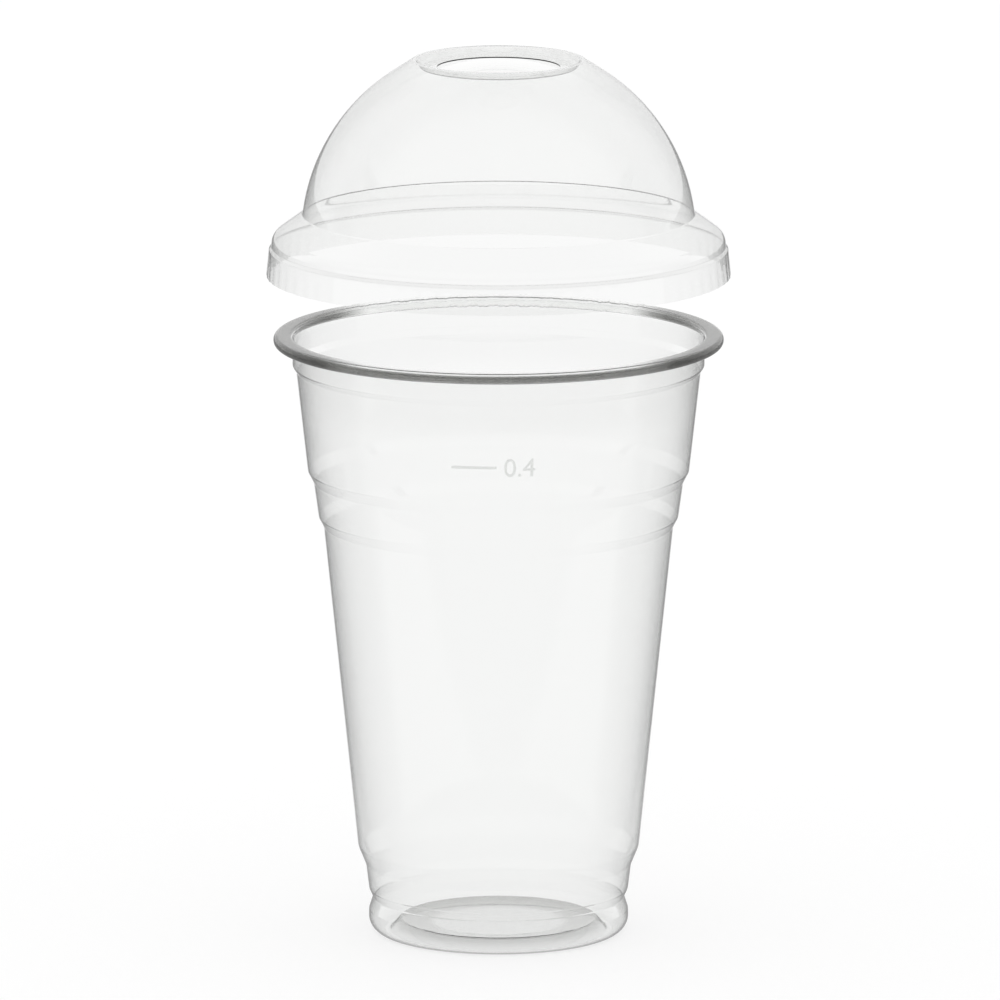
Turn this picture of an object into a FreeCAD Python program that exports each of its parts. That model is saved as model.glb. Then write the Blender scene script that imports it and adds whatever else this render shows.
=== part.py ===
import FreeCAD, Part
import math
import os

# A clear drinking cup and its domed lid, each formed from one thin plastic sheet.
# Millimetres, +Z up. The origin is the middle of the ring that the cup stands on, and Z is the cup's axis.
# The lid is shown lifted straight up off its seat on the rim.

# Cup sheet and rolled rim
cup_height = 128.6
rim_diameter = 95.0
cup_wall = 0.3
roll_width = 4.3
roll_height = 2.2
roll_bend = 0.75  # radius on the hollow side of the roll's bends
curl_gap = 0.3  # from the curl's turned-in edge to the neck
curl_leg = 1.2  # how far that edge stands up inside the roll

# Cup wall, from the neck down: bands with a draft, and short steps between them
neck_length = 4.2
neck_step = 0.8
neck_step_height = 1.2
upper_length = 21.4
upper_draft = 6.4
stacking_step = 1.25
stacking_step_height = 2.5
band_length = 7.3
band_draft = 7.8
lower_step = 1.1
lower_step_height = 2.2
lower_draft = 5.95
wall_bend = 0.6  # radius on the tight side of the bends at the steps

# Cup foot, from the ground up
foot_corner = 3.1  # radius inside the foot's corner
foot_ring_width = 1.35
foot_height = 4.9
foot_draft = 2.0
waist_height = 7.5
waist_depth = 0.85
waist_bend = 0.5
stem_foot_height = 9.4
stem_draft = 7.1
heel_height = 14.6
heel_rise = 4.0
heel_step = 1.65
heel_bend = 3.0

# Recess under the cup
recess_rise = 2.5
recess_wall_run = 2.2
recess_ring_run = 7.0
recess_ring_drop = 0.9
recess_bend = 0.5

# Lid sheet, skirt and shoulder, up from the lid's lower edge
lid_wall = 0.25
skirt_gap = 0.1  # round the rim
seat_gap = 0.05  # over the rim when the lid is on
flare_height = 5.6
flare_draft = 5.6
crease_rise = 0.6
crease_step = 0.55
crease_bend = 0.2
shoulder_height = 13.0
shoulder_drop = 4.8
shoulder_width = 6.5
shoulder_bend = 2.5  # radius on the inside of the shoulder

# Lid dome and the straw hole in its top
dome_draft = 8.25
dome_foot = 1.0
dome_foot_bend = 0.4
hole_diameter = 26.0
hole_land = 3.3
lip_run = 1.3
lip_drop = 1.9
lip_bend = 0.5
crown_turn = 8.0  # degrees of the dome's arc that run out straight to the lip

lid_lift = 21.05  # from the lid's seat to where it is held up


def run(length, draft):
    """How far a wall of this height leans over, for a draft in degrees."""
    return length * math.tan(math.radians(draft))


def shifted(start, end, distance):
    """The two ends of a straight stretch, moved to its left by a distance."""
    along = (end - start).normalize()
    left = FreeCAD.Vector(-along.z, 0, along.x) * distance
    return start + left, end + left


def crossing(first, second):
    """Where two straight stretches, or their extensions, cross in the XZ plane."""
    start = first[0]
    along = first[1] - first[0]
    other = second[1] - second[0]
    between = second[0] - start
    share = (between.x * other.z - between.z * other.x) / (along.x * other.z - along.z * other.x)
    return start + along * share


def left_face(corners, distance):
    """The corners of the line that runs beside a line of corners, to its left."""
    beside = [shifted(a, b, distance) for a, b in zip(corners, corners[1:])]
    inner = [crossing(a, b) for a, b in zip(beside, beside[1:])]
    return [beside[0][0], *inner, beside[-1][1]]


def rounded(corners, radii):
    """Edges along a line of corners, with an arc of its own radius at each inner corner."""
    edges = []
    reached = corners[0]
    for before, corner, after, radius in zip(corners, corners[1:], corners[2:], radii):
        back = (before - corner).normalize()
        ahead = (after - corner).normalize()
        half = back.getAngle(ahead) / 2
        cut = radius / math.tan(half)
        middle = corner + (back + ahead).normalize() * (radius / math.sin(half) - radius)
        arc_start = corner + back * cut
        arc_end = corner + ahead * cut
        edges.append(Part.LineSegment(reached, arc_start).toShape())
        edges.append(Part.Arc(arc_start, middle, arc_end).toShape())
        reached = arc_end
    edges.append(Part.LineSegment(reached, corners[-1]).toShape())
    return edges


def formed_sheet(outline, wall):
    """A sheet of one thickness, turned about Z. The outline is its outside face, as (radius, height,
    radius on the tight side of the bend there), and the thickness lies to the outline's left."""
    outside = [FreeCAD.Vector(r, 0, z) for r, z, _ in outline]
    inside = left_face(outside, wall)
    outer_radii = []
    inner_radii = []
    for before, corner, after, bend in zip(outside, outside[1:], outside[2:], [b for _, _, b in outline[1:]]):
        turns_left = (corner - before).cross(after - corner).y < 0
        outer_radii.append(bend + wall if turns_left else bend)
        inner_radii.append(bend if turns_left else bend + wall)
    edges = rounded(outside, outer_radii)
    edges.append(Part.LineSegment(outside[-1], inside[-1]).toShape())
    edges += rounded(inside[::-1], inner_radii[::-1])
    edges.append(Part.LineSegment(inside[0], outside[0]).toShape())
    section = Part.Face(Part.Wire(edges))
    return section.revolve(FreeCAD.Vector(0, 0, 0), FreeCAD.Vector(0, 0, 1), 360)


# Cup radii, from the rim inwards and down the wall
rim_r = rim_diameter / 2
neck_r = rim_r - roll_width + cup_wall
upper_top_r = neck_r - neck_step
upper_foot_r = upper_top_r - run(upper_length, upper_draft)
band_top_r = upper_foot_r - stacking_step
band_foot_r = band_top_r - run(band_length, band_draft)
lower_top_r = band_foot_r - lower_step

# Cup heights, from the rim down
roll_foot_z = cup_height - roll_height
neck_foot_z = roll_foot_z - neck_length
upper_top_z = neck_foot_z - neck_step_height
upper_foot_z = upper_top_z - upper_length
band_top_z = upper_foot_z - stacking_step_height
band_foot_z = band_top_z - band_length
lower_top_z = band_foot_z - lower_step_height

# The lower wall runs from the steps to the heel, and the foot hangs below it
heel_top_z = heel_height + heel_rise
heel_top_r = lower_top_r - run(lower_top_z - heel_top_z, lower_draft)
heel_r = heel_top_r - heel_step
stem_foot_r = heel_r - run(heel_height - stem_foot_height, stem_draft)
waist_r = stem_foot_r - waist_depth
foot_r = stem_foot_r + run(foot_height, foot_draft)
ring_inner_r = foot_r - foot_corner - cup_wall - foot_ring_width
recess_edge_r = ring_inner_r - recess_wall_run
recess_disc_r = recess_edge_r - recess_ring_run


def make_cup():
    """The cup, from the middle of its base, out over the foot, up the wall and round the rolled rim."""
    hollow_top_z = cup_height - cup_wall
    hollow_foot_z = roll_foot_z + cup_wall
    hollow_r = rim_r - cup_wall
    leg_r = neck_r + curl_gap + cup_wall
    outline = [
        (0, recess_rise - recess_ring_drop, 0),
        (recess_disc_r, recess_rise - recess_ring_drop, recess_bend),
        (recess_edge_r, recess_rise, recess_bend),
        (ring_inner_r, 0, recess_bend),
        (foot_r, 0, foot_corner),
        (stem_foot_r, foot_height, waist_bend),
        (waist_r, waist_height, waist_bend),
        (stem_foot_r, stem_foot_height, waist_bend),
        (heel_r, heel_height, heel_bend),
        (heel_top_r, heel_top_z, heel_bend),
        (lower_top_r, lower_top_z, wall_bend),
        (band_foot_r, band_foot_z, wall_bend),
        (band_top_r, band_top_z, wall_bend),
        (upper_foot_r, upper_foot_z, wall_bend),
        (upper_top_r, upper_top_z, wall_bend),
        (neck_r, neck_foot_z, wall_bend),
        (neck_r, hollow_top_z, roll_bend),
        (hollow_r, hollow_top_z, roll_bend),
        (hollow_r, hollow_foot_z, roll_bend),
        (leg_r, hollow_foot_z, roll_bend),
        (leg_r, hollow_foot_z + curl_leg, 0),
    ]
    return formed_sheet(outline, cup_wall)


# Lid radii, from the rim outwards and then in over the shoulder
skirt_inside_r = rim_r + skirt_gap
skirt_r = skirt_inside_r + lid_wall
crease_r = skirt_r + crease_step
flare_r = crease_r + run(flare_height, flare_draft)
dome_foot_r = skirt_r - shoulder_width

# The dome is part of a sphere about a point on the axis
dome_start_z = shoulder_height + dome_foot
dome_radius = (dome_foot_r - run(dome_foot, dome_draft)) / math.cos(math.radians(dome_draft))
dome_centre_z = dome_start_z - dome_radius * math.sin(math.radians(dome_draft))

# The shoulder slopes from the dome's foot out to the top of the skirt
shoulder_foot_z = shoulder_height - shoulder_drop
shoulder_turn = math.atan(shoulder_width / shoulder_drop)

# The round under the shoulder comes down on the roll's outer bend
roll_round = roll_bend + cup_wall
nesting = shoulder_bend - roll_round
nesting_rise = math.sqrt(nesting**2 - (nesting - skirt_gap) ** 2)
shoulder_round_z = shoulder_foot_z - (shoulder_bend + lid_wall) * math.tan(shoulder_turn / 2)
seated_z = cup_height - roll_round - nesting_rise - shoulder_round_z + seat_gap
lid_z = seated_z + lid_lift


def make_lid():
    """The lid, from the edge of its flare, up the skirt, over the shoulder and dome, and in to the hole."""
    hole_r = hole_diameter / 2
    lip_foot_r = hole_r + hole_land
    lip_top_r = lip_foot_r + lip_run
    low = math.radians(dome_draft)
    high = math.acos(lip_top_r / dome_radius) - math.radians(crown_turn)
    crown_run = dome_radius * math.cos(high) - lip_top_r
    lip_top_z = dome_centre_z + dome_radius * math.sin(high) + crown_run / math.tan(high)
    lip_foot_z = lip_top_z - lip_drop
    crown_reach = dome_radius / math.cos((high - low) / 2)
    crown_r = crown_reach * math.cos((high + low) / 2)
    crown_z = dome_centre_z + crown_reach * math.sin((high + low) / 2)
    outline = [
        (flare_r, 0, 0),
        (crease_r, flare_height, crease_bend),
        (skirt_r, flare_height + crease_rise, crease_bend),
        (skirt_r, shoulder_foot_z, shoulder_bend),
        (dome_foot_r, shoulder_height, dome_foot_bend),
        (crown_r, crown_z, dome_radius - lid_wall),
        (lip_top_r, lip_top_z, lip_bend),
        (lip_foot_r, lip_foot_z, lip_bend),
        (hole_r, lip_foot_z, 0),
    ]
    lid = formed_sheet(outline, lid_wall)
    lid.translate(FreeCAD.Vector(0, 0, lid_z))
    return lid


os.makedirs("parts", exist_ok=True)
make_cup().exportStep("parts/cup.step")
make_lid().exportStep("parts/dome_lid.step")
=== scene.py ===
import math

import bmesh
import bpy
from bpy.props import FloatProperty, FloatVectorProperty, IntProperty, PointerProperty, StringProperty
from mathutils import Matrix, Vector


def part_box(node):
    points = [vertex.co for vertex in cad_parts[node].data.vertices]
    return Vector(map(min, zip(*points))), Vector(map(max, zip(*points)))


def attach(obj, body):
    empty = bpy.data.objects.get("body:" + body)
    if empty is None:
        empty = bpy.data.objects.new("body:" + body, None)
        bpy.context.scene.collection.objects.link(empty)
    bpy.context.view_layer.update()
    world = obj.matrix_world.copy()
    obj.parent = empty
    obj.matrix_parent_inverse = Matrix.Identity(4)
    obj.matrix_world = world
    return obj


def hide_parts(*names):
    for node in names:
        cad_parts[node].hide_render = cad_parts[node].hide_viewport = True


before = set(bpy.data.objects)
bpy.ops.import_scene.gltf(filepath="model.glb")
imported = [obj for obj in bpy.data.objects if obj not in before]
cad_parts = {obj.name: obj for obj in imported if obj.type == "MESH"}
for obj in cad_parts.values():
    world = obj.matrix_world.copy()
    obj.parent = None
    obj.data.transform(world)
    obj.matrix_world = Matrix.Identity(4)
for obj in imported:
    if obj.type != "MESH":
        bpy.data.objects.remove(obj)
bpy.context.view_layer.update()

bl_info = {
    "name": "Clear cup and dome lid",
    "version": (1, 0, 0),
    "blender": (4, 5, 0),
    "location": "3D View > Sidebar > Clear Cup",
    "description": "Makes a clear formed plastic cup, its domed lid and a white studio round them",
    "category": "Add Mesh",
}

CUP_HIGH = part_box("cup")[1]
LID_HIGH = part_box("dome_lid")[1]

MM = 0.001
FULL_TURN = 2 * math.pi
MERGE_DISTANCE = 0.001 * MM
SLIVER = 0.0001 * MM
CUT_ANGLE = math.radians(40)

# Longest face along each sheet's section, and largest turn from face to face at its bends
CUP_FACE = 8 * MM
CUP_BEND_STEP = math.radians(9)
LID_FACE = 1.5 * MM
LID_BEND_STEP = math.radians(3)

# Points along the fill line
LINE_POINTS = 25


def length(name, millimetres, words):
    """A property that holds a length, given in millimetres and kept in metres."""
    return FloatProperty(name=name, description=words, default=millimetres * MM, subtype="DISTANCE",
                         precision=5)


def slope(name, degrees, words):
    """A property that holds an angle, given in degrees and kept in radians."""
    return FloatProperty(name=name, description=words, default=math.radians(degrees), subtype="ANGLE")


def share(name, amount, words):
    """A property that holds a share, from none to all."""
    return FloatProperty(name=name, description=words, default=amount, min=0, max=1)


def light(name, amount, words):
    """A property that holds a level of light, where 1 is white."""
    return FloatProperty(name=name, description=words, default=amount, min=0)


def multiple(name, amount, words):
    """A property that holds a plain number, with no unit."""
    return FloatProperty(name=name, description=words, default=amount, min=0)


def colour(name, red, green, blue, words):
    """A property that holds a colour."""
    return FloatVectorProperty(name=name, description=words, default=(red, green, blue), subtype="COLOR",
                               size=3, min=0, max=1)


class CupSizes(bpy.types.PropertyGroup):
    """Sizes of the cup's sheet, which follow the fixed frame."""

    height: FloatProperty(name="Height", description="From the table to the top of the rim",
                          default=CUP_HIGH.z, subtype="DISTANCE")
    rim_radius: FloatProperty(name="Rim radius", description="Outside radius of the rolled rim",
                              default=CUP_HIGH.x, subtype="DISTANCE")
    wall: length("Wall", 0.3, "Thickness of the cup's sheet")
    roll_width: length("Roll width", 4.3, "Width of the rolled rim")
    roll_height: length("Roll height", 2.2, "Height of the rolled rim")
    roll_bend: length("Roll bend", 0.75, "Bend radius on the hollow side of the roll")
    curl_gap: length("Curl gap", 0.3, "Gap between the curl's edge and the neck")
    curl_leg: length("Curl leg", 1.2, "How far the curl's edge stands up inside the roll")
    neck_length: length("Neck", 4.2, "Height of the upright neck under the roll")
    neck_step: length("Neck step", 0.8, "How far the wall steps in under the neck")
    neck_step_height: length("Neck step height", 1.2, "Height of that step")
    upper_length: length("Upper wall", 21.4, "Height of the wall between the neck and the first step")
    upper_draft: slope("Upper draft", 6.4, "Lean of the upper wall")
    stacking_step: length("Stacking step", 1.25, "How far the first step goes in")
    stacking_step_height: length("Stacking step height", 2.5, "Height of the first step")
    band_length: length("Band", 7.3, "Height of the band between the two steps")
    band_draft: slope("Band draft", 7.8, "Lean of the band")
    lower_step: length("Lower step", 1.1, "How far the second step goes in")
    lower_step_height: length("Lower step height", 2.2, "Height of the second step")
    lower_draft: slope("Lower draft", 5.95, "Lean of the long lower wall")
    wall_bend: length("Wall bend", 0.6, "Bend radius at the steps")
    foot_corner: length("Foot corner", 3.1, "Bend radius inside the foot's corner")
    foot_ring_width: length("Foot ring", 1.35, "Width of the flat ring that the cup stands on")
    foot_height: length("Foot height", 4.9, "Height of the foot under the waist")
    foot_draft: slope("Foot draft", 2.0, "Lean of the foot's side")
    waist_height: length("Waist height", 7.5, "Height of the waist's middle")
    waist_depth: length("Waist depth", 0.85, "Depth of the waist's groove")
    waist_bend: length("Waist bend", 0.5, "Bend radius at the waist")
    stem_foot_height: length("Stem height", 9.4, "Height where the stem starts over the waist")
    stem_draft: slope("Stem draft", 7.1, "Lean of the stem")
    heel_height: length("Heel height", 14.6, "Height where the wall starts to widen")
    heel_rise: length("Heel rise", 4.0, "Height over which it widens")
    heel_step: length("Heel step", 1.65, "How far it widens")
    heel_bend: length("Heel bend", 3.0, "Bend radius at the heel")
    recess_rise: length("Recess rise", 2.5, "Height of the recess's edge under the cup")
    recess_wall_run: length("Recess wall", 2.2, "How far the recess's wall leans in")
    recess_ring_run: length("Recess ring", 7.0, "Width of the sloping ring under the cup")
    recess_ring_drop: length("Recess drop", 0.9, "How far that ring comes down to the middle")
    recess_bend: length("Recess bend", 0.5, "Bend radius in the recess")
    around: IntProperty(name="Round divisions", description="Faces round the cup", default=192, min=24)


class LidSizes(bpy.types.PropertyGroup):
    """Sizes of the lid's sheet, which follow the fixed frame."""

    wall: length("Wall", 0.25, "Thickness of the lid's sheet")
    skirt_gap: length("Skirt gap", 0.1, "Gap between the rim and the skirt")
    flare_height: length("Flare height", 5.6, "Height of the flared edge")
    flare_draft: slope("Flare draft", 5.6, "Lean of the flare")
    crease_rise: length("Crease rise", 0.6, "Height of the crease over the flare")
    crease_step: length("Crease step", 0.55, "Depth of the crease")
    crease_bend: length("Crease bend", 0.2, "Bend radius at the crease")
    shoulder_height: length("Shoulder height", 13.0, "Height of the dome's foot over the lid's edge")
    shoulder_drop: length("Shoulder drop", 4.8, "How far the shoulder slopes down to the skirt")
    shoulder_width: length("Shoulder width", 6.5, "From the skirt in to the dome")
    shoulder_bend: length("Shoulder bend", 2.5, "Bend radius inside the shoulder")
    dome_draft: slope("Dome draft", 8.25, "Lean of the dome where it leaves the shoulder")
    dome_foot: length("Dome foot", 1.0, "Height of the straight foot of the dome")
    dome_foot_bend: length("Dome foot bend", 0.4, "Bend radius between shoulder and dome")
    hole_radius: length("Hole radius", 13.0, "Radius of the straw hole")
    hole_land: length("Hole land", 3.3, "Width of the flat edge round the hole")
    lip_run: length("Lip run", 1.3, "Width of the lip that slopes down to the hole")
    lip_drop: length("Lip drop", 1.9, "How far the lip slopes down")
    lip_bend: length("Lip bend", 0.5, "Bend radius at the lip")
    crown_turn: slope("Crown turn", 8.0, "Share of the dome's arc that runs out straight to the lip")
    flute_count: IntProperty(name="Flutes", description="Shallow flutes round the flare", default=72, min=0)
    flute_depth: length("Flute depth", 0.12, "Depth of the flutes")
    around: IntProperty(name="Round divisions", description="Faces round the lid", default=288, min=24)


class MarkSizes(bpy.types.PropertyGroup):
    """Place and size of the fill line and its number on the cup's front."""

    height: length("Height", 107.7, "Height of the fill line over the table")
    line_start: length("Line start", -9.9, "Where the line starts, round the wall from the front")
    line_end: length("Line end", -0.4, "Where the line ends")
    line_width: length("Line width", 0.55, "Height of the line")
    number: StringProperty(name="Number", description="The number beside the line", default="0.4")
    number_start: length("Number start", 1.2, "Where the number starts")
    number_height: length("Number height", 3.9, "Height of the figures")
    gap: length("Gap", 0.02, "From the wall to the pads' back")
    stand: length("Stand", 0.08, "Thickness of the pads")
    roughness: share("Roughness", 0.2, "Roughness of the frosted pads")


class PlasticLook(bpy.types.PropertyGroup):
    """Finish of the clear sheet, and the grey of the shade painted into it."""

    tint: colour("Tint", 0.993, 0.996, 0.992, "Colour of the clear plastic")
    # Grey of the painted shade, which the clear tint is mixed toward where the painted shade is full
    painted_shade: colour("Smoke", 0.3, 0.3, 0.29, "Colour where the plastic is all smoke")
    frost: colour("Frost", 0.84, 0.85, 0.84, "Colour of the fill line and number")
    bend_of_light: FloatProperty(name="IOR", description="Index of refraction", default=1.53, min=1, max=2)
    roughness: share("Roughness", 0.03, "Highest roughness of the sheet")
    clearest: share("Clearest", 0.3, "Share of that roughness where the sheet is at its clearest")
    dullest: share("Dullest", 0.994, "Share of the tint that is left where the sheet is at its dullest")
    cloud_scale: multiple("Cloud scale", 38, "Scale of the soft clouds in the sheet")
    line_scale: multiple("Line scale", 160, "Scale of the draw lines round the sheet")
    line_stretch: share("Line stretch", 0.12, "Scale of the draw lines up the sheet, as a share of that")
    ripple: length("Ripple", 0.002, "Height of the sheet's faint ripples")
    ripple_strength: share("Ripple strength", 0.35, "How much of the ripples shows")
    cloud_height: multiple("Cloud height", 4, "Height of the clouds in the ripples, next to the draw lines'")
    # Painted shade in the rolled rim: the band round its front, and the curl behind it
    band: share("Band", 0.85, "Smoke in the band round the front of the rolled rim")
    curl: share("Curl", 0.5, "Smoke in the curl behind that band")
    # Painted shade: a trace just under the rolled rim
    neck: share("Neck", 0.06, "Smoke in the thicker neck")
    # Painted shade in the recess under the cup: its sloping ring, and the disc inside it
    base_ring: share("Base ring", 0.44, "Smoke in the sloping ring under the cup")
    base_disc: share("Base disc", 0.15, "Smoke in the disc inside that ring")
    # Painted shade: a trace in the lid's shoulder and skirt
    shoulder: share("Shoulder", 0.04, "Smoke in the lid's shoulder")
    skirt: share("Skirt", 0.02, "Smoke in the lid's skirt and flare")
    # Painted shade along the lid's crease
    crease: share("Crease", 0.16, "Smoke at the lid's crease")
    # Painted shade round the sunk lip at the hole
    lip: share("Lip", 0.1, "Smoke in the lip round the lid's hole")


class StageLook(bpy.types.PropertyGroup):
    """Camera, floor and light."""

    focal: FloatProperty(name="Focal length", description="Of the camera's lens, on a 36 mm wide frame",
                         default=562.2, min=1)
    distance: length("Distance", 3300, "From the camera to what it looks at")
    elevation: slope("Elevation", 11.0, "Angle that the camera looks down")
    aim_height: length("Aim height", 92.9, "Height that the camera looks at")
    aim_side: length("Aim side", 0.3, "How far the camera looks past the axis")
    far_clip: length("Far clip", 50000, "How far the camera sees")
    bounces: IntProperty(name="Bounces", description="How often light may turn in the clear sheets",
                         default=32, min=0)
    floor_radius: length("Floor radius", 9000, "Size of the white floor")
    floor_sides: IntProperty(name="Floor sides", description="Sides of the floor's disc", default=96, min=3)
    floor_shade: share("Floor shade", 0.25, "Paleness of the floor, which shadows darken")
    floor_glow: light("Floor glow", 0.76, "Level that the floor adds to that, so that it shows white")
    white: light("White", 1.0, "Level of the background")
    side: light("Side", 0.42, "Level that reflections see at eye height")
    top: light("Top", 0.6, "Level that reflections see overhead")
    back: light("Back", 0.85, "Level that reflections see behind, beside the strip")
    ground: light("Ground", 0.62, "Level that reflections see on the floor in front")
    flag: light("Flag", 0.35, "Level of the dark flags on the floor behind")
    strip_half: share("Strip half", 0.1, "Sine of the backdrop strip's half angle")
    strip_top: share("Strip top", 0.6, "Sine of the backdrop strip's top angle")


# Sections of the sheets

def run(height, draft):
    """How far a wall of this height leans over."""
    return height * math.tan(draft)


def crossing(first, second):
    """Where two stretches, or their extensions, cross."""
    start, end = first
    along = end - start
    other = second[1] - second[0]
    between = second[0] - start
    reach = (between.x * other.y - between.y * other.x) / (along.x * other.y - along.y * other.x)
    return start + along * reach


def left_face(corners, distance):
    """The corners of the line that runs beside a line of corners, to its left."""
    beside = []
    for start, end in zip(corners, corners[1:]):
        along = (end - start).normalized()
        left = Vector((-along.y, along.x)) * distance
        beside.append((start + left, end + left))
    inner = [crossing(a, b) for a, b in zip(beside, beside[1:])]
    return [beside[0][0], *inner, beside[-1][1]]


def straight(start, end, step):
    """Points from the start of a straight stretch up to its end, which is left out."""
    count = max(1, math.ceil((end - start).length / step))
    return [start.lerp(end, i / count) for i in range(count)]


def rounded(corners, radii, step, bend_step):
    """Points along a line of corners whose inner corners are rounded."""
    points = []
    reached = corners[0]
    for before, corner, after, radius in zip(corners, corners[1:], corners[2:], radii):
        back = (before - corner).normalized()
        ahead = (after - corner).normalized()
        half = back.angle(ahead) / 2
        arc_start = corner + back * (radius / math.tan(half))
        arc_end = corner + ahead * (radius / math.tan(half))
        centre = corner + (back + ahead).normalized() * (radius / math.sin(half))
        turn = math.pi - 2 * half
        count = max(2, math.ceil(turn / bend_step))
        points += straight(reached, arc_start, step)
        for i in range(count):
            first = math.sin((1 - i / count) * turn) / math.sin(turn)
            last = math.sin(i / count * turn) / math.sin(turn)
            points.append(centre + (arc_start - centre) * first + (arc_end - centre) * last)
        reached = arc_end
    points += straight(reached, corners[-1], step)
    points.append(corners[-1])
    return points


def sheet_section(outline, wall, step, bend_step):
    """The closed section of a sheet. The outline is its outside face, as (radius, height, radius on the
    tight side of the bend there), and the wall lies to its left."""
    outside = [Vector((r, z)) for r, z, _ in outline]
    inside = left_face(outside, wall)
    outer_radii = []
    inner_radii = []
    for i in range(1, len(outline) - 1):
        turns_left = (outside[i] - outside[i - 1]).cross(outside[i + 1] - outside[i]) > 0
        bend = outline[i][2]
        outer_radii.append(bend + wall if turns_left else bend)
        inner_radii.append(bend if turns_left else bend + wall)
    face = rounded(outside, outer_radii, step, bend_step)
    back = rounded(inside[::-1], inner_radii[::-1], step, bend_step)
    return face + back


def upper_wall_top(s):
    """The radius and the height of the top of the cup's upper wall, on its outside face."""
    radius = s.rim_radius - s.roll_width + s.wall - s.neck_step
    height = s.height - s.roll_height - s.neck_length - s.neck_step_height
    return radius, height


def cup_outline(s):
    """The outside face of the cup's sheet, from the middle of its base to the edge of the curl."""
    upper_top_r, upper_top_z = upper_wall_top(s)
    neck_r = upper_top_r + s.neck_step
    upper_foot_r = upper_top_r - run(s.upper_length, s.upper_draft)
    band_top_r = upper_foot_r - s.stacking_step
    band_foot_r = band_top_r - run(s.band_length, s.band_draft)
    lower_top_r = band_foot_r - s.lower_step
    upper_foot_z = upper_top_z - s.upper_length
    band_top_z = upper_foot_z - s.stacking_step_height
    band_foot_z = band_top_z - s.band_length
    lower_top_z = band_foot_z - s.lower_step_height
    heel_top_z = s.heel_height + s.heel_rise
    heel_top_r = lower_top_r - run(lower_top_z - heel_top_z, s.lower_draft)
    heel_r = heel_top_r - s.heel_step
    stem_foot_r = heel_r - run(s.heel_height - s.stem_foot_height, s.stem_draft)
    foot_r = stem_foot_r + run(s.foot_height, s.foot_draft)
    ring_inner_r = foot_r - s.foot_corner - s.wall - s.foot_ring_width
    recess_edge_r = ring_inner_r - s.recess_wall_run
    recess_disc_z = s.recess_rise - s.recess_ring_drop
    hollow_r = s.rim_radius - s.wall
    hollow_foot_z = s.height - s.roll_height + s.wall
    leg_r = neck_r + s.curl_gap + s.wall
    return [
        (0, recess_disc_z, 0),
        (recess_edge_r - s.recess_ring_run, recess_disc_z, s.recess_bend),
        (recess_edge_r, s.recess_rise, s.recess_bend),
        (ring_inner_r, 0, s.recess_bend),
        (foot_r, 0, s.foot_corner),
        (stem_foot_r, s.foot_height, s.waist_bend),
        (stem_foot_r - s.waist_depth, s.waist_height, s.waist_bend),
        (stem_foot_r, s.stem_foot_height, s.waist_bend),
        (heel_r, s.heel_height, s.heel_bend),
        (heel_top_r, heel_top_z, s.heel_bend),
        (lower_top_r, lower_top_z, s.wall_bend),
        (band_foot_r, band_foot_z, s.wall_bend),
        (band_top_r, band_top_z, s.wall_bend),
        (upper_foot_r, upper_foot_z, s.wall_bend),
        (upper_top_r, upper_top_z, s.wall_bend),
        (neck_r, upper_top_z + s.neck_step_height, s.wall_bend),
        (neck_r, s.height - s.wall, s.roll_bend),
        (hollow_r, s.height - s.wall, s.roll_bend),
        (hollow_r, hollow_foot_z, s.roll_bend),
        (leg_r, hollow_foot_z, s.roll_bend),
        (leg_r, hollow_foot_z + s.curl_leg, 0),
    ]


def lid_outline(s, rim_radius):
    """The outside face of the lid's sheet, from the edge of its flare in to the hole. Heights start at
    the lid's lower edge."""
    skirt_r = rim_radius + s.skirt_gap + s.wall
    crease_r = skirt_r + s.crease_step
    flare_r = crease_r + run(s.flare_height, s.flare_draft)
    dome_foot_r = skirt_r - s.shoulder_width
    dome_radius = (dome_foot_r - run(s.dome_foot, s.dome_draft)) / math.cos(s.dome_draft)
    dome_centre_z = s.shoulder_height + s.dome_foot - dome_radius * math.sin(s.dome_draft)
    lip_foot_r = s.hole_radius + s.hole_land
    lip_top_r = lip_foot_r + s.lip_run
    low = s.dome_draft
    high = math.acos(lip_top_r / dome_radius) - s.crown_turn
    crown_run = dome_radius * math.cos(high) - lip_top_r
    lip_top_z = dome_centre_z + dome_radius * math.sin(high) + crown_run / math.tan(high)
    crown_reach = dome_radius / math.cos((high - low) / 2)
    crown_r = crown_reach * math.cos((high + low) / 2)
    crown_z = dome_centre_z + crown_reach * math.sin((high + low) / 2)
    return [
        (flare_r, 0, 0),
        (crease_r, s.flare_height, s.crease_bend),
        (skirt_r, s.flare_height + s.crease_rise, s.crease_bend),
        (skirt_r, s.shoulder_height - s.shoulder_drop, s.shoulder_bend),
        (dome_foot_r, s.shoulder_height, s.dome_foot_bend),
        (crown_r, crown_z, dome_radius - s.wall),
        (lip_top_r, lip_top_z, s.lip_bend),
        (lip_foot_r, lip_top_z - s.lip_drop, s.lip_bend),
        (s.hole_radius, lip_top_z - s.lip_drop, 0),
    ]


# Nodes that more than one tree uses

def socket(tree, name, kind, way="INPUT"):
    """Adds a socket to a tree's interface and gives its identifier."""
    return tree.interface.new_socket(name=name, in_out=way, socket_type=kind).identifier


def maths(tree, operation, first, second=None, third=None):
    """A maths node with its inputs linked or set, and its output."""
    node = tree.nodes.new("ShaderNodeMath")
    node.operation = operation
    for place, value in enumerate((first, second, third)):
        if isinstance(value, bpy.types.NodeSocket):
            tree.links.new(value, node.inputs[place])
        elif value is not None:
            node.inputs[place].default_value = value
    return node.outputs[0]


def product(tree, *values):
    """All the values multiplied."""
    result = values[0]
    for value in values[1:]:
        result = maths(tree, "MULTIPLY", result, value)
    return result


def largest(tree, *values):
    """The largest of the values."""
    result = values[0]
    for value in values[1:]:
        result = maths(tree, "MAXIMUM", result, value)
    return result


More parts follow.
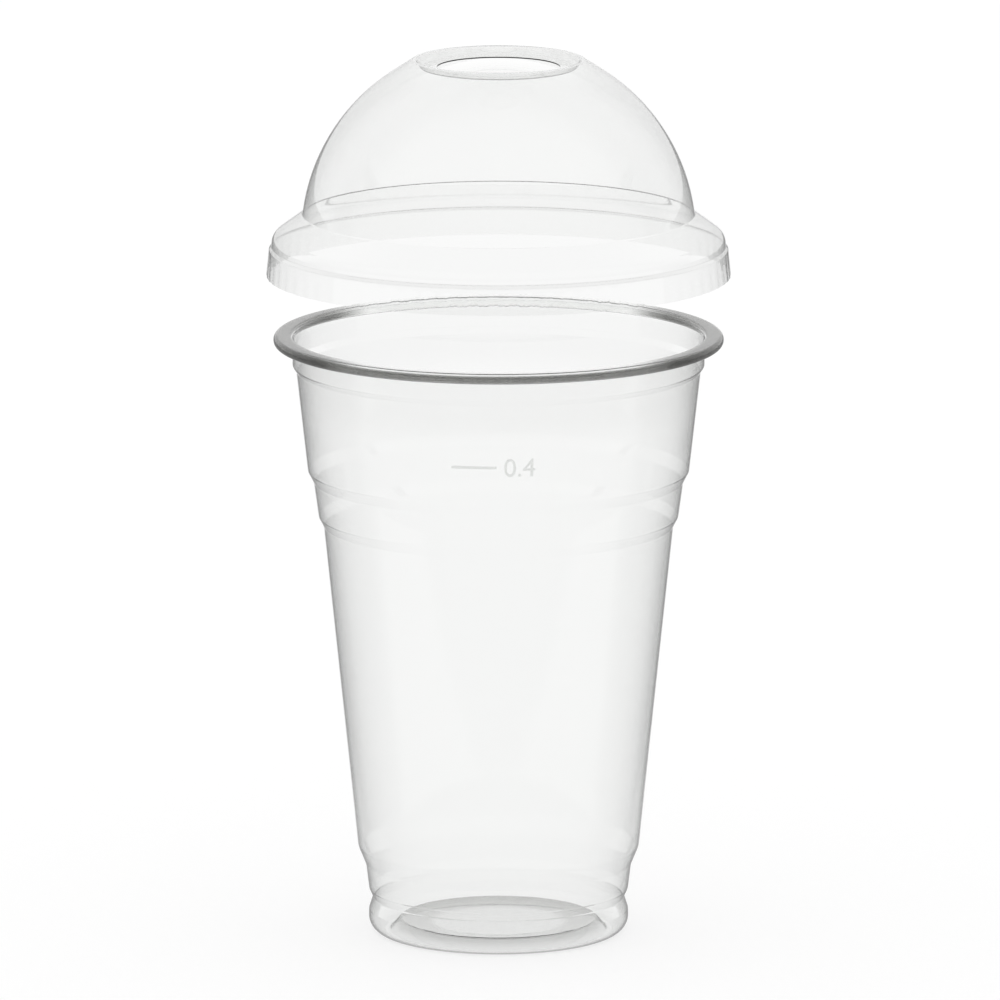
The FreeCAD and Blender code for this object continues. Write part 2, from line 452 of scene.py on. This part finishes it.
def ramp(tree, value, start, end, low=0.0, high=1.0):
    """A smooth step of a value from one level to another."""
    node = tree.nodes.new("ShaderNodeMapRange")
    node.interpolation_type = "SMOOTHSTEP"
    tree.links.new(value, node.inputs["Value"])
    for name, setting in (("From Min", start), ("From Max", end), ("To Min", low), ("To Max", high)):
        node.inputs[name].default_value = setting
    return node.outputs[0]


def blended(tree, amount, first, second):
    """The first value, or the second where the amount is one, each linked or set."""
    node = tree.nodes.new("ShaderNodeMix")
    tree.links.new(amount, node.inputs[0])
    for place, value in ((2, first), (3, second)):
        if isinstance(value, bpy.types.NodeSocket):
            tree.links.new(value, node.inputs[place])
        else:
            node.inputs[place].default_value = value
    return node.outputs[0]


def vector_maths(tree, operation, first, second):
    """A vector maths node with both inputs linked, and its output."""
    node = tree.nodes.new("ShaderNodeVectorMath")
    node.operation = operation
    tree.links.new(first, node.inputs[0])
    tree.links.new(second, node.inputs[1])
    return node.outputs[0]


def parts(tree, vector):
    """The X, Y and Z of a vector."""
    node = tree.nodes.new("ShaderNodeSeparateXYZ")
    tree.links.new(vector, node.inputs[0])
    return tuple(node.outputs[axis] for axis in "XYZ")


def joined(tree, x, y, z):
    """A vector from its X, Y and Z, of which those that are None stay zero."""
    node = tree.nodes.new("ShaderNodeCombineXYZ")
    for axis, value in zip("XYZ", (x, y, z)):
        if value is not None:
            tree.links.new(value, node.inputs[axis])
    return node.outputs[0]


def position(tree):
    """Where each point of a geometry is."""
    return tree.nodes.new("GeometryNodeInputPosition").outputs[0]


def set_position(tree, geometry, spot):
    """Moves a geometry's points, and gives the result."""
    node = tree.nodes.new("GeometryNodeSetPosition")
    tree.links.new(geometry, node.inputs["Geometry"])
    tree.links.new(spot, node.inputs["Position"])
    return node.outputs[0]


def merge(tree, geometry):
    """Closes a geometry's seams and poles, and gives the result."""
    node = tree.nodes.new("GeometryNodeMergeByDistance")
    node.inputs["Distance"].default_value = MERGE_DISTANCE
    tree.links.new(geometry, node.inputs["Geometry"])
    return node.outputs[0]


def finish_tree(tree, geometry, material):
    """Ends a tree with real geometry in its material."""
    realized = tree.nodes.new("GeometryNodeRealizeInstances")
    tree.links.new(geometry, realized.inputs[0])
    finish = tree.nodes.new("GeometryNodeSetMaterial")
    tree.links.new(realized.outputs[0], finish.inputs["Geometry"])
    tree.links.new(material, finish.inputs["Material"])
    tree.links.new(finish.outputs[0], tree.nodes.new("NodeGroupOutput").inputs[0])


# Trees that make the pieces

def turned_sheet_tree():
    """A tree that turns the points of a section about Z, with shallow flutes low down. A grid one metre
    wide and one deep is wrapped: across it runs the section, and along it the turn."""
    tree = bpy.data.node_groups.new("Turned sheet", "GeometryNodeTree")
    ids = {
        "Section": socket(tree, "Section", "NodeSocketGeometry"),
        "Section Points": socket(tree, "Section Points", "NodeSocketInt"),
        "Around": socket(tree, "Around", "NodeSocketInt"),
        "Flutes": socket(tree, "Flutes", "NodeSocketInt"),
        "Flute Depth": socket(tree, "Flute Depth", "NodeSocketFloat"),
        "Flute Top": socket(tree, "Flute Top", "NodeSocketFloat"),
        "Flute Foot": socket(tree, "Flute Foot", "NodeSocketFloat"),
        "Material": socket(tree, "Material", "NodeSocketMaterial"),
    }
    socket(tree, "Sheet", "NodeSocketGeometry", "OUTPUT")
    nodes = tree.nodes
    link = tree.links.new
    given = nodes.new("NodeGroupInput").outputs
    grid = nodes.new("GeometryNodeMeshGrid")
    link(maths(tree, "ADD", given["Section Points"], 1), grid.inputs["Vertices X"])
    link(maths(tree, "ADD", given["Around"], 1), grid.inputs["Vertices Y"])
    across, turned, _ = parts(tree, position(tree))

    along = maths(tree, "ADD", across, 0.5)
    point = maths(tree, "ROUND", maths(tree, "MULTIPLY", along, given["Section Points"]))
    sample = nodes.new("GeometryNodeSampleIndex")
    sample.data_type = "FLOAT_VECTOR"
    link(given["Section"], sample.inputs["Geometry"])
    link(position(tree), sample.inputs["Value"])
    link(maths(tree, "MODULO", point, given["Section Points"]), sample.inputs["Index"])
    section_r, _, section_z = parts(tree, sample.outputs["Value"])

    angle = maths(tree, "MULTIPLY", turned, FULL_TURN)
    wave = maths(tree, "COSINE", maths(tree, "MULTIPLY", angle, given["Flutes"]))
    valley = maths(tree, "MULTIPLY_ADD", wave, -0.5, 0.5)
    fade = nodes.new("ShaderNodeMapRange")
    fade.interpolation_type = "SMOOTHSTEP"
    link(section_z, fade.inputs["Value"])
    link(given["Flute Top"], fade.inputs["From Min"])
    link(given["Flute Foot"], fade.inputs["From Max"])
    radius = maths(tree, "SUBTRACT", section_r, product(tree, valley, fade.outputs[0], given["Flute Depth"]))

    spot = joined(tree, product(tree, radius, maths(tree, "COSINE", angle)),
                  product(tree, radius, maths(tree, "SINE", angle)), section_z)
    finish_tree(tree, merge(tree, set_position(tree, grid.outputs["Mesh"], spot)), given["Material"])
    return tree, ids


def scaled_number(tree, given):
    """The filled figures of the number, with their height and their start as given."""
    words = tree.nodes.new("GeometryNodeStringToCurves")
    tree.links.new(given["Number"], words.inputs["String"])
    figures = tree.nodes.new("GeometryNodeFillCurve")
    tree.links.new(words.outputs["Curve Instances"], figures.inputs["Curve"])
    apart = tree.nodes.new("GeometryNodeRealizeInstances")
    tree.links.new(figures.outputs[0], apart.inputs[0])
    ends = tree.nodes.new("GeometryNodeBoundBox")
    tree.links.new(apart.outputs[0], ends.inputs[0])
    drawn_height = parts(tree, vector_maths(tree, "SUBTRACT", ends.outputs["Max"], ends.outputs["Min"]))[1]
    grown = tree.nodes.new("ShaderNodeVectorMath")
    grown.operation = "SCALE"
    tree.links.new(vector_maths(tree, "SUBTRACT", position(tree), ends.outputs["Min"]), grown.inputs[0])
    tree.links.new(maths(tree, "DIVIDE", given["Number Height"], drawn_height), grown.inputs["Scale"])
    corner = joined(tree, given["Number Start"], maths(tree, "MULTIPLY", given["Number Height"], -0.5), None)
    return set_position(tree, apart.outputs[0], vector_maths(tree, "ADD", grown.outputs[0], corner))


def flat_line(tree, given):
    """The fill line, flat, with faces short enough to follow the round wall."""
    line = tree.nodes.new("GeometryNodeMeshGrid")
    line.inputs["Vertices X"].default_value = LINE_POINTS
    line.inputs["Vertices Y"].default_value = 2
    tree.links.new(maths(tree, "SUBTRACT", given["Line End"], given["Line Start"]), line.inputs["Size X"])
    tree.links.new(given["Line Width"], line.inputs["Size Y"])
    middle = maths(tree, "MULTIPLY", maths(tree, "ADD", given["Line Start"], given["Line End"]), 0.5)
    spot = vector_maths(tree, "ADD", position(tree), joined(tree, middle, None, None))
    return set_position(tree, line.outputs["Mesh"], spot)


def wrapped_mark_tree():
    """A tree that lays a line and a number, as thin pads, on the front of a leaning round wall."""
    tree = bpy.data.node_groups.new("Wrapped mark", "GeometryNodeTree")
    ids = {"Number": socket(tree, "Number", "NodeSocketString")}
    for name in ("Number Height", "Number Start", "Line Start", "Line End", "Line Width", "Gap", "Stand",
                 "Wall Radius", "Wall Lean", "Height"):
        ids[name] = socket(tree, name, "NodeSocketFloat")
    ids["Material"] = socket(tree, "Material", "NodeSocketMaterial")
    socket(tree, "Mark", "NodeSocketGeometry", "OUTPUT")
    nodes = tree.nodes
    link = tree.links.new
    given = nodes.new("NodeGroupInput").outputs

    flat = nodes.new("GeometryNodeJoinGeometry")
    link(scaled_number(tree, given), flat.inputs[0])
    link(flat_line(tree, given), flat.inputs[0])
    raised = nodes.new("GeometryNodeExtrudeMesh")
    raised.inputs["Individual"].default_value = False
    link(flat.outputs[0], raised.inputs["Mesh"])
    link(given["Stand"], raised.inputs["Offset Scale"])
    back = nodes.new("GeometryNodeFlipFaces")
    link(flat.outputs[0], back.inputs[0])
    closed = nodes.new("GeometryNodeJoinGeometry")
    link(raised.outputs["Mesh"], closed.inputs[0])
    link(back.outputs[0], closed.inputs[0])

    across, up, out = parts(tree, position(tree))
    angle = maths(tree, "DIVIDE", across, given["Wall Radius"])
    wall = maths(tree, "MULTIPLY_ADD", up, given["Wall Lean"], given["Wall Radius"])
    radius = maths(tree, "ADD", maths(tree, "ADD", wall, given["Gap"]), out)
    spot = joined(tree, product(tree, radius, maths(tree, "SINE", angle)),
                  product(tree, radius, maths(tree, "COSINE", angle), -1.0),
                  maths(tree, "ADD", up, given["Height"]))
    finish_tree(tree, set_position(tree, merge(tree, closed.outputs[0]), spot), given["Material"])
    return tree, ids


def settle(mesh):
    """Clears faces with no area from a closed mesh, turns its faces outwards and shades it smooth, apart
    from its cut edges."""
    shape = bmesh.new()
    shape.from_mesh(mesh)
    bmesh.ops.dissolve_degenerate(shape, dist=SLIVER, edges=shape.edges)
    bmesh.ops.delete(shape, geom=[e for e in shape.edges if not e.link_faces], context="EDGES")
    if shape.calc_volume(signed=True) < 0:
        bmesh.ops.reverse_faces(shape, faces=shape.faces)
    for edge in shape.edges:
        edge.smooth = edge.calc_face_angle(0) < CUT_ANGLE
    for face in shape.faces:
        face.smooth = True
    shape.to_mesh(mesh)
    shape.free()


def made_by_tree(name, seed, tree, ids, values):
    """An object whose plain mesh is what a tree makes with the given inputs."""
    piece = bpy.data.objects.new(name, seed)
    bpy.context.scene.collection.objects.link(piece)
    modifier = piece.modifiers.new(tree.name, "NODES")
    modifier.node_group = tree
    for label, value in values.items():
        modifier[ids[label]] = value
    evaluated = piece.evaluated_get(bpy.context.evaluated_depsgraph_get())
    mesh = bpy.data.meshes.new_from_object(evaluated)
    piece.modifiers.clear()
    piece.data = mesh
    mesh.name = name
    settle(mesh)
    return piece


def turned_sheet(name, section, material, around, flutes=(0, 0.0, 0.0, 0.0)):
    """An object whose plain mesh is the section turned about Z. The flutes are their count, their depth,
    and the heights where they start and where they are deepest."""
    seed = bpy.data.meshes.new(name + "_section")
    seed.from_pydata([(p.x, 0, p.y) for p in section], [], [])
    count, depth, top, foot = flutes
    values = {"Section Points": len(section), "Around": around, "Flutes": count, "Flute Depth": depth,
              "Flute Top": top, "Flute Foot": foot, "Material": material}
    tree, ids = turned_sheet_tree()
    return made_by_tree(name, seed, tree, ids, values)


# Materials

# Parts of the rim's radius, across and in depth, between which the roll's painted shade comes in
ROLL_SIDE_FADE = (0.56, 0.8)
ROLL_FRONT_FADE = (-0.2, -0.5)


def place_parts(tree, place):
    """The X, Y and Z of a place, and its distance from the axis."""
    x, y, z = parts(tree, place)
    squares = maths(tree, "MULTIPLY_ADD", x, x, maths(tree, "MULTIPLY", y, y))
    return x, y, z, maths(tree, "SQRT", squares)


def cup_painted_shade(tree, place, sizes, look, outline):
    """How much shade is painted on the cup's sheet. Most of it is clear. The rolled rim has painted shade:
    at the sides all of it, at the front a band round its outside and the curl behind that, and at the back
    none of it, so that the back of the rim looks lit from behind. The neck just under the roll and the base
    inside the recess have a trace of painted shade."""
    x, y, z, radius = place_parts(tree, place)
    rim = sizes.rim_radius
    top = sizes.height
    roll_foot = top - sizes.roll_height
    neck = rim - sizes.roll_width + sizes.wall
    # Painted shade in the rolled rim: full at the sides, a band and the curl at the front, none at the back
    in_roll = product(tree, ramp(tree, radius, neck + 0.1 * MM, neck + 0.4 * MM),
                      ramp(tree, z, roll_foot - 0.4 * MM, roll_foot))
    at_side = ramp(tree, maths(tree, "ABSOLUTE", x), *(part * rim for part in ROLL_SIDE_FADE))
    at_front = ramp(tree, y, *(part * rim for part in ROLL_FRONT_FADE))
    band = product(tree, ramp(tree, z, roll_foot + 0.1 * MM, roll_foot + 0.8 * MM, look.curl, look.band),
                   ramp(tree, z, top - 0.8 * MM, top - 0.4 * MM, 1.0, 0.0))
    roll = product(tree, in_roll, largest(tree, at_side, product(tree, at_front, band)))

    # A trace of painted shade just under the rolled rim
    trace_shade = product(tree, ramp(tree, z, roll_foot - 16 * MM, roll_foot - 8 * MM, 0.0, look.neck),
                    ramp(tree, z, roll_foot + 0.5 * MM, roll_foot - 0.5 * MM))
    # Painted shade in the recess under the cup: its sloping ring, and fainter the disc inside it
    disc, edge, ring = (r for r, _, _ in outline[1:4])
    base = product(tree, ramp(tree, z, sizes.foot_height, sizes.recess_rise),
                   ramp(tree, radius, disc - 1 * MM, disc + 2 * MM, look.base_disc, look.base_ring),
                   ramp(tree, radius, edge, ring, 1.0, 0.0))
    return largest(tree, roll, trace_shade, base)


def lid_painted_shade(tree, place, sizes, look, foot):
    """How much shade is painted on the lid's sheet: a trace in the shoulder and skirt, at the crease, and
    round the hole. The foot is the height of the lid's lower edge."""
    _, _, z, radius = place_parts(tree, place)
    dome_foot = foot + sizes.shoulder_height
    skirt_top = dome_foot - sizes.shoulder_drop
    # A trace of painted shade in the lid's shoulder and skirt
    under_dome = ramp(tree, z, dome_foot + 0.3 * MM, dome_foot - 0.3 * MM)
    trace_shade = product(tree, under_dome,
                    ramp(tree, z, skirt_top - 4 * MM, skirt_top - 2 * MM, look.skirt, look.shoulder))
    # Painted shade along the lid's crease
    off_crease = maths(tree, "SUBTRACT", z, foot + sizes.flare_height + sizes.crease_rise / 2)
    crease = ramp(tree, maths(tree, "ABSOLUTE", off_crease), 0.7 * MM, 0.3 * MM, 0.0, look.crease)
    # Painted shade round the sunk lip at the hole
    lip_top = sizes.hole_radius + sizes.hole_land + sizes.lip_run
    lip = ramp(tree, radius, lip_top + 1 * MM, lip_top - 1 * MM, 0.0, look.lip)
    return largest(tree, trace_shade, crease, lip)


def clear_plastic(name, look, tint_colour, rough, painted_shade=None):
    """Clear formed sheet: faint ripples and draw lines from forming, and a little roughness that varies.
    The painted_shade function gives how much shade is painted at each place; there the tint is mixed toward
    the painted shade's grey."""
    material = bpy.data.materials.new(name)
    material.use_nodes = True
    tree = material.node_tree
    nodes = tree.nodes
    link = tree.links.new
    surface = nodes["Principled BSDF"]
    surface.inputs["IOR"].default_value = look.bend_of_light
    surface.inputs["Transmission Weight"].default_value = 1.0
    place = nodes.new("ShaderNodeTexCoord").outputs["Object"]

    cloud = nodes.new("ShaderNodeTexNoise")
    cloud.inputs["Scale"].default_value = look.cloud_scale
    cloud.inputs["Detail"].default_value = 3.0
    link(place, cloud.inputs["Vector"])
    tint = nodes.new("ShaderNodeValToRGB")
    tint.color_ramp.elements[0].color = (*(c * look.dullest for c in tint_colour), 1)
    tint.color_ramp.elements[1].color = (*tint_colour, 1)
    link(cloud.outputs[0], tint.inputs[0])
    shade = tint.outputs[0]
    # Painted shade: the tint is mixed toward a grey where the mask says the plastic should look darker
    if painted_shade:
        blend = nodes.new("ShaderNodeMix")
        blend.data_type = "RGBA"
        link(painted_shade(tree, place), blend.inputs[0])
        link(shade, blend.inputs[6])
        blend.inputs[7].default_value = (*look.painted_shade, 1)
        shade = blend.outputs[2]
    link(shade, surface.inputs["Base Color"])
    haze = nodes.new("ShaderNodeMapRange")
    haze.inputs["To Min"].default_value = rough * look.clearest
    haze.inputs["To Max"].default_value = rough
    link(cloud.outputs[0], haze.inputs["Value"])
    link(haze.outputs[0], surface.inputs["Roughness"])

    stretched = nodes.new("ShaderNodeMapping")
    stretched.inputs["Scale"].default_value = (1, 1, look.line_stretch)
    link(place, stretched.inputs["Vector"])
    lines = nodes.new("ShaderNodeTexNoise")
    lines.inputs["Scale"].default_value = look.line_scale
    lines.inputs["Detail"].default_value = 2.0
    link(stretched.outputs[0], lines.inputs["Vector"])
    ripples = maths(tree, "MULTIPLY_ADD", cloud.outputs[0], look.cloud_height, lines.outputs[0])
    bump = nodes.new("ShaderNodeBump")
    bump.inputs["Strength"].default_value = look.ripple_strength
    bump.inputs["Distance"].default_value = look.ripple
    link(ripples, bump.inputs["Height"])
    link(bump.outputs[0], surface.inputs["Normal"])
    return material


# The pieces

class CLEARCUP_OT_cup(bpy.types.Operator):
    """Make the cup: one sheet with its recess, foot, steps, neck and rolled rim"""

    bl_idname = "clearcup.cup"
    bl_label = "Cup"

    def execute(self, context):
        sizes = context.scene.cup_sizes
        look = context.scene.plastic_look
        outline = cup_outline(sizes)
        section = sheet_section(outline, sizes.wall, CUP_FACE, CUP_BEND_STEP)
        # The cup's material carries the painted shade that cup_painted_shade gives
        material = clear_plastic("clear_cup_plastic", look, look.tint, look.roughness,
                                 lambda tree, place: cup_painted_shade(tree, place, sizes, look, outline))
        cup = turned_sheet("cup_sheet", section, material, sizes.around)
        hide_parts("cup")
        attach(cup, "cup")
        return {"FINISHED"}


class CLEARCUP_OT_mark(bpy.types.Operator):
    """Make the fill line and its number, as thin frosted pads on the front of the upper wall"""

    bl_idname = "clearcup.mark"
    bl_label = "Fill line"

    def execute(self, context):
        sizes = context.scene.mark_sizes
        cup = context.scene.cup_sizes
        look = context.scene.plastic_look
        upper_top_r, upper_top_z = upper_wall_top(cup)
        values = {
            "Number": sizes.number,
            "Number Height": sizes.number_height,
            "Number Start": sizes.number_start,
            "Line Start": sizes.line_start,
            "Line End": sizes.line_end,
            "Line Width": sizes.line_width,
            "Gap": sizes.gap,
            "Stand": sizes.stand,
            "Wall Radius": upper_top_r - run(upper_top_z - sizes.height, cup.upper_draft),
            "Wall Lean": math.tan(cup.upper_draft),
            "Height": sizes.height,
            "Material": clear_plastic("frosted_plastic", look, look.frost, sizes.roughness),
        }
        tree, ids = wrapped_mark_tree()
        mark = made_by_tree("fill_mark", bpy.data.meshes.new("fill_mark_seed"), tree, ids, values)
        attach(mark, "cup")
        return {"FINISHED"}


class CLEARCUP_OT_lid(bpy.types.Operator):
    """Make the lid: one sheet with its fluted flare, skirt, shoulder, dome and sunk lip"""

    bl_idname = "clearcup.lid"
    bl_label = "Dome lid"

    def execute(self, context):
        sizes = context.scene.lid_sizes
        look = context.scene.plastic_look
        outline = lid_outline(sizes, context.scene.cup_sizes.rim_radius)
        section = sheet_section(outline, sizes.wall, LID_FACE, LID_BEND_STEP)
        lift = LID_HIGH.z - max(p.y for p in section)
        section = [p + Vector((0, lift)) for p in section]
        # The lid's material carries the painted shade that lid_painted_shade gives
        material = clear_plastic("clear_lid_plastic", look, look.tint, look.roughness,
                                 lambda tree, place: lid_painted_shade(tree, place, sizes, look, lift))
        flutes = (sizes.flute_count, sizes.flute_depth, lift + sizes.flare_height,
                  lift + sizes.flare_height / 3)
        lid = turned_sheet("lid_sheet", section, material, sizes.around, flutes)
        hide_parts("dome_lid")
        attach(lid, "lid")
        return {"FINISHED"}


# The stage

# Sines of the angles between which each thing that reflections see fades in, from none to all of it
BACK_FADE = (0.2, 0.6)
OVERHEAD_FADE = (0.0, 0.6)
STRIP_BACK_FADE = (0.0, 0.2)

# The same, measured from the edges of the backdrop strip
STRIP_SIDE_FADE = (0.1, -0.05)
STRIP_TOP_FADE = (0.1, -0.1)

# Places on the floor between which its cards fade in, in metres behind the cup's axis
BEHIND_FADE = (0.02, 0.14)
FRONT_FADE = (0.02, -0.06)

# Slants across the floor between which the flags fade in, taken from a point this far before the axis
FLAG_FADE = (0.75, 0.4)
SLANT_POINT = 0.3


def edge_fade(tree, value, edge, fade):
    """None beyond an edge and one inside it, with a fade that is measured from the edge."""
    return ramp(tree, value, edge + fade[0], edge + fade[1])


def studio_world(look):
    """A white room. Reflections see a lit strip of backdrop behind the cup, and beside it a paler wall than
    the room's grey at the sides and overhead."""
    world = bpy.data.worlds.new("white_room")
    bpy.context.scene.world = world
    world.use_nodes = True
    tree = world.node_tree
    path = tree.nodes.new("ShaderNodeLightPath")
    reflected = maths(tree, "GREATER_THAN", path.outputs["Glossy Depth"], 0.5)
    x, y, z = parts(tree, tree.nodes.new("ShaderNodeTexCoord").outputs["Generated"])
    grey = ramp(tree, z, *OVERHEAD_FADE, look.side, look.top)
    room = blended(tree, ramp(tree, y, *BACK_FADE), grey, look.back)
    strip = product(tree, edge_fade(tree, maths(tree, "ABSOLUTE", x), look.strip_half, STRIP_SIDE_FADE),
                    edge_fade(tree, z, look.strip_top, STRIP_TOP_FADE), ramp(tree, y, *STRIP_BACK_FADE))
    seen = blended(tree, strip, room, look.white)
    background = tree.nodes["Background"]
    background.inputs["Color"].default_value = (1, 1, 1, 1)
    tree.links.new(blended(tree, reflected, look.white, seen), background.inputs["Strength"])


def floor_material(look):
    """A pale floor that keeps soft shadows and shows white to the eye and to light through the plastic.
    Reflections see a paler floor in front, the lit strip behind, and a dark flag on each side of it."""
    material = bpy.data.materials.new("pale_floor")
    material.use_nodes = True
    tree = material.node_tree
    nodes = tree.nodes
    nodes.clear()
    link = tree.links.new
    path = nodes.new("ShaderNodeLightPath")
    seen = maths(tree, "MAXIMUM", path.outputs["Is Camera Ray"], path.outputs["Is Transmission Ray"])
    reflected = maths(tree, "GREATER_THAN", path.outputs["Glossy Depth"], 0.5)
    pale = nodes.new("ShaderNodeBsdfDiffuse")
    pale.inputs["Color"].default_value = (look.floor_shade, look.floor_shade, look.floor_shade, 1)
    glow = nodes.new("ShaderNodeEmission")
    link(maths(tree, "MULTIPLY", seen, look.floor_glow), glow.inputs["Strength"])
    lit = nodes.new("ShaderNodeAddShader")
    link(pale.outputs[0], lit.inputs[0])
    link(glow.outputs[0], lit.inputs[1])

    x, y, _ = parts(tree, nodes.new("ShaderNodeTexCoord").outputs["Object"])
    across = maths(tree, "DIVIDE", maths(tree, "ABSOLUTE", x),
                   maths(tree, "ADD", maths(tree, "ABSOLUTE", y), SLANT_POINT))
    behind = ramp(tree, y, *BEHIND_FADE)
    open_floor = ramp(tree, y, *FRONT_FADE, look.side, look.ground)
    flags = blended(tree, product(tree, behind, ramp(tree, across, *FLAG_FADE)), open_floor, look.flag)
    strip = product(tree, behind, edge_fade(tree, across, look.strip_half, STRIP_SIDE_FADE))
    card = nodes.new("ShaderNodeEmission")
    link(blended(tree, strip, flags, look.white), card.inputs["Strength"])
    mix = nodes.new("ShaderNodeMixShader")
    link(reflected, mix.inputs[0])
    link(lit.outputs[0], mix.inputs[1])
    link(card.outputs[0], mix.inputs[2])
    link(mix.outputs[0], nodes.new("ShaderNodeOutputMaterial").inputs["Surface"])
    return material


def add_floor(scene, look):
    """The floor, a wide disc at the height of the table."""
    shape = bmesh.new()
    bmesh.ops.create_circle(shape, cap_ends=True, segments=look.floor_sides, radius=look.floor_radius)
    mesh = bpy.data.meshes.new("floor")
    shape.to_mesh(mesh)
    shape.free()
    mesh.materials.append(floor_material(look))
    floor = bpy.data.objects.new("floor", mesh)
    scene.collection.objects.link(floor)


def add_camera(scene, look):
    """The camera, far off and looking a little down."""
    lens = bpy.data.cameras.new("camera")
    lens.lens = look.focal
    lens.clip_end = look.far_clip
    camera = bpy.data.objects.new("camera", lens)
    scene.collection.objects.link(camera)
    aim = Vector((look.aim_side, 0, look.aim_height))
    back = Vector((0, -math.cos(look.elevation), math.sin(look.elevation)))
    camera.location = aim + back * look.distance
    camera.rotation_euler = (-back).to_track_quat("-Z", "Y").to_euler()
    scene.camera = camera


class CLEARCUP_OT_stage(bpy.types.Operator):
    """Make the white floor, the room's light and the camera"""

    bl_idname = "clearcup.stage"
    bl_label = "Stage"

    def execute(self, context):
        look = context.scene.stage_look
        studio_world(look)
        add_floor(context.scene, look)
        add_camera(context.scene, look)
        context.scene.view_settings.view_transform = "Standard"
        context.scene.cycles.max_bounces = look.bounces
        context.scene.cycles.transmission_bounces = look.bounces
        return {"FINISHED"}


class CLEARCUP_PT_panel(bpy.types.Panel):
    """The steps that make the cup, its lid and the stage"""

    bl_idname = "CLEARCUP_PT_panel"
    bl_label = "Clear cup"
    bl_space_type = "VIEW_3D"
    bl_region_type = "UI"
    bl_category = "Clear Cup"

    def draw(self, context):
        for operator in OPERATORS:
            self.layout.operator(operator.bl_idname)


OPERATORS = (CLEARCUP_OT_cup, CLEARCUP_OT_mark, CLEARCUP_OT_lid, CLEARCUP_OT_stage)
GROUPS = {"cup_sizes": CupSizes, "lid_sizes": LidSizes, "mark_sizes": MarkSizes, "plastic_look": PlasticLook,
          "stage_look": StageLook}


def register():
    for kind in (*GROUPS.values(), *OPERATORS, CLEARCUP_PT_panel):
        bpy.utils.register_class(kind)
    for name, group in GROUPS.items():
        setattr(bpy.types.Scene, name, PointerProperty(type=group))


def unregister():
    for name in GROUPS:
        delattr(bpy.types.Scene, name)
    for kind in (CLEARCUP_PT_panel, *reversed(OPERATORS), *reversed(GROUPS.values())):
        bpy.utils.unregister_class(kind)


def main():
    register()
    bpy.ops.clearcup.cup()
    bpy.ops.clearcup.mark()
    bpy.ops.clearcup.lid()
    bpy.ops.clearcup.stage()


if __name__ == "__main__":
    main()
